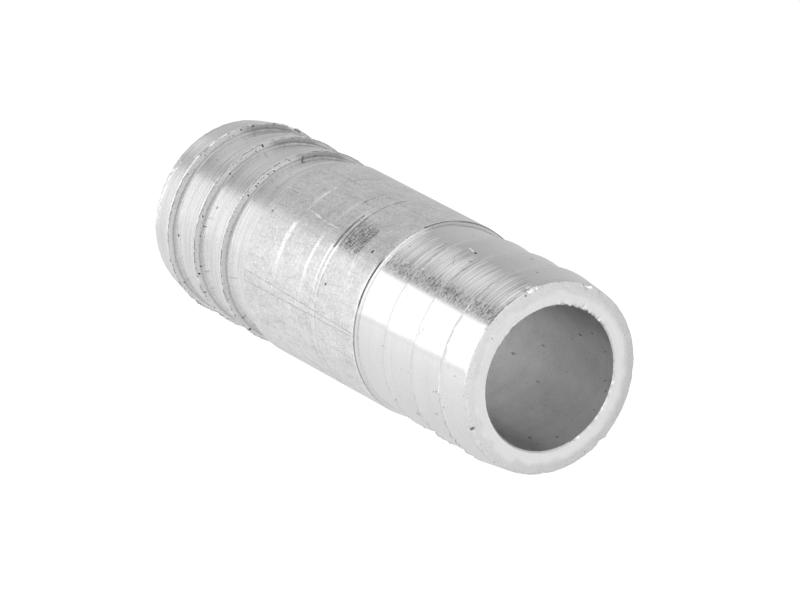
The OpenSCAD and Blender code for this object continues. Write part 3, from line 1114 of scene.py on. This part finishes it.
def face_metal(s, finish):
    """Faced ring: a smooth inner band that turns duller and speckled towards the rim, where highlights are
    painted on specks and nicks.
    """
    bench = MetalBench("faced end rings", raggedness=0.0)
    grain, clouds = bench.grain(0.20)
    outer = bench.step(bench.uneven(bench.radius, clouds, 1.6), 8.15, 8.85)
    bench.mottle(grain, bench.line(outer, 0.26, 0.08), 0.006)
    at = bench.split(bench.position)
    ripple = bench.join(
        bench.times(bench.radius, 6.0), bench.times(at["X"], 120.0), bench.times(at["Y"], 120.0))
    bench.mottle(bench.noise(ripple, 1.0, 2.0), 0.08, 0.010)
    bench.mark(0.92, outer)
    bench.mark(0.79, bench.step(grain, 0.50, 0.64), outer)
    by_rim = bench.step(bench.radius, 9.0, 9.5)
    bench.mark(0.80, by_rim, bench.specks(0.20, 0.62))
    # Painted highlights: white glowing specks by the rim.
    bench.paint_highlight(by_rim, bench.times(bench.specks(0.18, 0.50), 0.6))
    bench.mark(0.65, bench.specks(0.28, 0.30))
    bench.mark(0.30, bench.pits(FACE_PITS, bench.radius), depth=PIT_DEPTH)
    # Painted highlights on the rim nicks.
    bench.paint_highlight(bench.pits(FACE_PAINTED_HIGHLIGHTS, bench.radius))
    rough = bench.line(outer, 0.10, finish.face_rough)
    return bench.finish(finish.faced, bench.uneven(rough, grain, 0.2))


def bore_metal(s, finish):
    """Grey bore wall, left as drawn, with dark specks and pits, and painted shade on its far side towards
    the upper mouth.
    """
    bench = MetalBench("grey bore wall")
    bench.shader.inputs["Metallic"].default_value = finish.bore_bare
    grain, clouds = bench.grain(0.24)
    bench.mottle(grain, 0.14, 0.008)
    bench.mottle(clouds, 0.14)
    rough = bench.uneven(finish.bore_rough, grain, 0.12)
    # Painted shade: the far side of the bore is darker towards the upper mouth.
    far_wall_painted_shade = bench.step(bench.math("ABSOLUTE", bench.around), 122.0, 162.0)
    bench.mark(0.75, far_wall_painted_shade, bench.step(bench.along, 36.0, 53.0))
    bench.mark(0.6, bench.specks(0.30, 0.36))
    bench.mark(0.7, bench.specks(0.22, 0.46))
    bench.mark(0.25, bench.pits(BORE_PITS), depth=BORE_PIT_DEPTH)
    return bench.finish(finish.bore, rough)


# A face whose normal leans further towards the axis than this belongs to an end ring.
END_FACING = 0.45


def put_on_faces(piece, slot, choose):
    """Assigns the material of one slot to the faces that the test chooses."""
    make_active(piece)
    bpy.ops.object.mode_set(mode="EDIT")
    bpy.ops.mesh.select_mode(type="FACE")
    bpy.ops.mesh.select_all(action="DESELECT")
    mesh = bmesh.from_edit_mesh(piece.data)
    for face in mesh.faces:
        middle = face.calc_center_median()
        if choose(math.hypot(middle.x, middle.y), middle.z, face.normal):
            face.select = True
    bmesh.update_edit_mesh(piece.data)
    piece.active_material_index = slot
    bpy.ops.object.material_slot_assign()
    bpy.ops.object.mode_set(mode="OBJECT")


class CONNECTOR_OT_finish_metal(bpy.types.Operator):
    """Give each zone of the body its finish"""

    bl_idname = "connector.finish_metal"
    bl_label = "Finish the metal"
    bl_options = {"REGISTER", "UNDO"}

    def execute(self, context):
        s = context.scene.connector_sizes
        finish = context.scene.connector_finish
        piece = bpy.data.objects[BODY_PIECE]
        low, high = shoulders(s)
        for make_group in (
                group_place_on_tube, group_pit, group_scratch, group_behind_crest, group_strokes,
                group_lathe_lines, group_grain):
            make_group()
        make_active(piece)
        for make_metal in (upper_metal, lower_metal, skin_metal, face_metal, bore_metal):
            bpy.ops.object.material_slot_add()
            piece.material_slots[-1].material = make_metal(s, finish)
        near_end = s.bevel_h + 0.12 * MM
        past_edge = high + 0.15 * MM
        bore_edge = s.bore_r + 0.3 * MM
        zones = (
            lambda r, z, n: z > past_edge,
            lambda r, z, n: z < low,
            lambda r, z, n: low <= z <= past_edge,
            lambda r, z, n: abs(n.z) > END_FACING and not near_end < z < s.length - near_end,
            lambda r, z, n: r < bore_edge and abs(n.z) < END_FACING,
        )
        for slot, zone in enumerate(zones):
            put_on_faces(piece, slot, zone)
        return {"FINISHED"}


# The light that the metal reflects, as (azimuth from the camera's side, level): what lies deepest,
# close to the table, then higher and higher. The panel is the brightest stretch.
DEEP_RING = (
    (-180, 0.88), (-172, 1), (-155, 0.97), (-137, 0.95), (-99, 0.945), (-78, 0.94), (-60, 0.93),
    (-38, 0.97), (-20, 0.98), (0, 0.9), (10, 0.86), (20, 0.78), (30, 0.62), (42, 0.52), (52, 0.51),
    (62, 0.6), (72, 0.76), (82, 0.91), (99, 0.93), (118, 0.93), (137, 0.88), (155, 0.74), (165, 0.84),
    (172, 1), (180, 0.88),
)
LOW_RING = (
    (-180, 0.7), (-154, 0.79), (-130, 0.8), (-95, 0.82), (-60, 0.87), (-48, 0.9), (-44, 1.02), (14, 1.02),
    (24, 0.6), (38, 0.47), (56, 0.54), (80, 0.64), (98, 0.6), (128, 0.51), (150, 0.57), (180, 0.66),
)
MIDDLE_RING = (
    (-180, 0.64), (-152, 0.72), (-120, 0.81), (-88, 0.87), (-60, 0.9), (-42, 0.89), (-16, 0.84), (4, 0.82),
    (16, 0.78), (26, 0.56), (42, 0.46), (64, 0.5), (90, 0.57), (130, 0.59), (155, 0.62), (180, 0.62),
)
HIGH_RING = (
    (-180, 0.58), (-144, 0.63), (-120, 0.74), (-92, 0.83), (-60, 0.91), (-44, 0.98), (-40.5, 1.01),
    (-37.2, 0.92), (-35.2, 0.96), (-32.5, 1.32), (15, 1.32), (17.6, 0.72), (20.8, 0.61), (24.2, 0.5),
    (29.4, 0.45), (35, 0.56), (42, 0.66), (50, 0.78), (57, 0.79), (64, 0.74), (70, 0.66), (77, 0.57),
    (84, 0.48), (100, 0.52), (145, 0.63),
)
# What stands on the horizon: only worn edges and the sides of the body show it.
HORIZON_RING = (
    (-180, 0.55), (-160, 0.44), (-140, 0.6), (-110, 0.86), (-60, 0.92), (-42, 0.95), (-38, 1.22),
    (10, 1.22), (15, 0.55), (30, 0.44), (45, 0.62), (75, 0.74), (110, 0.6), (125, 0.42), (150, 0.52),
    (180, 0.55),
)
# What is above: the wall behind the object and, brighter, the sheet over the camera.
CEILING_RING = (
    (-180, 0.92), (-140, 0.92), (-115, 1.18), (-42, 1.25), (-30, 1.6), (30, 1.6), (42, 1.2), (78, 1.12),
    (92, 0.92), (180, 0.92),
)
# The wall between the horizon and the ceiling, which the steep backs of the barbs show.
WALL_RING = ((-180, 0.61), (180, 0.61))
# The rings above the deepest one, as (elevation where it starts, where it has taken over, ring).
HIGHER_RINGS = (
    (-73, -70, LOW_RING), (-60, -54, MIDDLE_RING), (-48, -42, HIGH_RING), (-30, -22, HORIZON_RING),
    (-12, -3, WALL_RING), (38, 48, CEILING_RING),
)


def grey_ramp(wires, turn, stops):
    """A ramp of greys over one turn, whose stops are given in degrees."""
    ramp = wires.node("ShaderNodeValToRGB", {"Fac": turn})
    elements = ramp.color_ramp.elements
    while len(elements) < len(stops):
        elements.new(0.5)
    for element, (place, level) in zip(elements, stops):
        element.position = (place + 180) / 360
    for element, (place, level) in zip(elements, stops):
        element.color = (level, level, level, 1)
    return ramp.outputs["Color"]


def studio_world():
    """White walls with one bright panel and the dimmer corners that the metal's dark bands show."""
    world = bpy.data.worlds.new("white studio")
    world.use_nodes = True
    bpy.context.scene.world = world
    world.node_tree.nodes.clear()
    wires = Wiring(world.node_tree)
    towards = wires.node("ShaderNodeTexCoord").outputs["Generated"]
    at = wires.split(towards)
    azimuth = wires.math("ARCTAN2", wires.times(at["X"], -1.0), wires.times(at["Y"], -1.0))
    elevation = wires.math("ARCSINE", at["Z"])
    turn = wires.node("ShaderNodeMapRange", {
        "Value": azimuth, "From Min": -math.pi, "From Max": math.pi}).outputs["Result"]
    level = grey_ramp(wires, turn, DEEP_RING)
    for start, end, ring in HIGHER_RINGS:
        reached = wires.step(elevation, math.radians(start), math.radians(end))
        level = wires.blend(reached, level, grey_ramp(wires, turn, ring))
    path = wires.node("ShaderNodeLightPath").outputs
    level = wires.blend(path["Is Camera Ray"], level, (1, 1, 1, 1))
    background = wires.node("ShaderNodeBackground", {"Color": level})
    wires.node("ShaderNodeOutputWorld", {"Surface": background.outputs[0]})


# The floor's radius in metres, the grey it is painted and the strength of its own light
FLOOR_R = 3.0
FLOOR_GREY = 0.92
FLOOR_GLOW = 1.16


def white_floor(shadow):
    """A floor that only the camera sees. Most of its white is its own light, so that the shadow on it
    stays weak."""
    bpy.ops.mesh.primitive_circle_add(vertices=96, radius=FLOOR_R, fill_type="NGON")
    floor = bpy.context.object
    floor.name = "floor"
    floor.visible_glossy = floor.visible_diffuse = floor.visible_shadow = False
    material = bpy.data.materials.new("white floor")
    material.use_nodes = True
    material.node_tree.nodes.clear()
    wires = Wiring(material.node_tree)
    paint = wires.node("ShaderNodeBsdfDiffuse", {"Color": (FLOOR_GREY, FLOOR_GREY, FLOOR_GREY, 1)})
    glow = wires.node("ShaderNodeEmission", {"Strength": FLOOR_GLOW})
    path = wires.node("ShaderNodeLightPath").outputs
    seen = wires.math("MAXIMUM", path["Is Glossy Ray"], path["Is Transmission Ray"])
    keep = wires.times(wires.math("MAXIMUM", path["Is Camera Ray"], seen), 1 - shadow)
    mixed = wires.node("ShaderNodeMixShader", {0: keep, 1: paint.outputs[0], 2: glow.outputs[0]})
    wires.node("ShaderNodeOutputMaterial", {"Surface": mixed.outputs[0]})
    floor.data.materials.append(material)


def photo_camera(studio):
    """A camera with the photograph's viewing angle."""
    aim = Vector((studio.aim_side, 0.0, studio.aim_height))
    back = Vector((0.0, -math.cos(studio.elevation), math.sin(studio.elevation)))
    bpy.ops.object.camera_add(location=aim + back * studio.distance)
    camera = bpy.context.object
    camera.name = "photo camera"
    turn = back.to_track_quat("Z", "Y").to_matrix().to_4x4()
    roll = Matrix.Rotation(studio.roll, 4, "Z")
    camera.rotation_euler = (turn @ roll).to_euler()
    camera.data.sensor_width = 36.0
    camera.data.lens = studio.lens
    camera.data.clip_start = 0.01
    camera.data.clip_end = 20.0
    bpy.context.scene.camera = camera


class CONNECTOR_OT_set_stage(bpy.types.Operator):
    """Set the floor, the studio light and the camera"""

    bl_idname = "connector.set_stage"
    bl_label = "Set the stage"
    bl_options = {"REGISTER", "UNDO"}

    def execute(self, context):
        studio = context.scene.connector_studio
        deselect_all()
        studio_world()
        white_floor(studio.shadow)
        deselect_all()
        photo_camera(studio)
        context.scene.view_settings.view_transform = "Standard"
        return {"FINISHED"}


class CONNECTOR_PT_panel(bpy.types.Panel):
    """Sizes, wear, finishes and steps of the hose connector"""

    bl_label = "Hose connector"
    bl_idname = "CONNECTOR_PT_panel"
    bl_space_type = "VIEW_3D"
    bl_region_type = "UI"
    bl_category = "Hose connector"

    def draw(self, context):
        for group in GROUPS:
            settings = getattr(context.scene, group)
            box = self.layout.box()
            for name in GROUPS[group].__annotations__:
                box.prop(settings, name)
        for step in STEPS:
            self.layout.operator(step.bl_idname)


GROUPS = {
    "connector_sizes": CONNECTOR_PG_sizes,
    "connector_wear": CONNECTOR_PG_wear,
    "connector_finish": CONNECTOR_PG_finish,
    "connector_studio": CONNECTOR_PG_studio,
}
STEPS = (
    CONNECTOR_OT_turn_body, CONNECTOR_OT_wear_edges, CONNECTOR_OT_finish_metal, CONNECTOR_OT_set_stage,
)


def register():
    for group in GROUPS.values():
        bpy.utils.register_class(group)
    for step in STEPS:
        bpy.utils.register_class(step)
    bpy.utils.register_class(CONNECTOR_PT_panel)
    for name, group in GROUPS.items():
        setattr(bpy.types.Scene, name, bpy.props.PointerProperty(type=group))


def unregister():
    for name in GROUPS:
        delattr(bpy.types.Scene, name)
    bpy.utils.unregister_class(CONNECTOR_PT_panel)
    for step in reversed(STEPS):
        bpy.utils.unregister_class(step)
    for group in reversed(GROUPS.values()):
        bpy.utils.unregister_class(group)


def main():
    register()
    bpy.ops.connector.turn_body()
    bpy.ops.connector.wear_edges()
    bpy.ops.connector.finish_metal()
    bpy.ops.connector.set_stage()


if __name__ == "__main__":
    main()
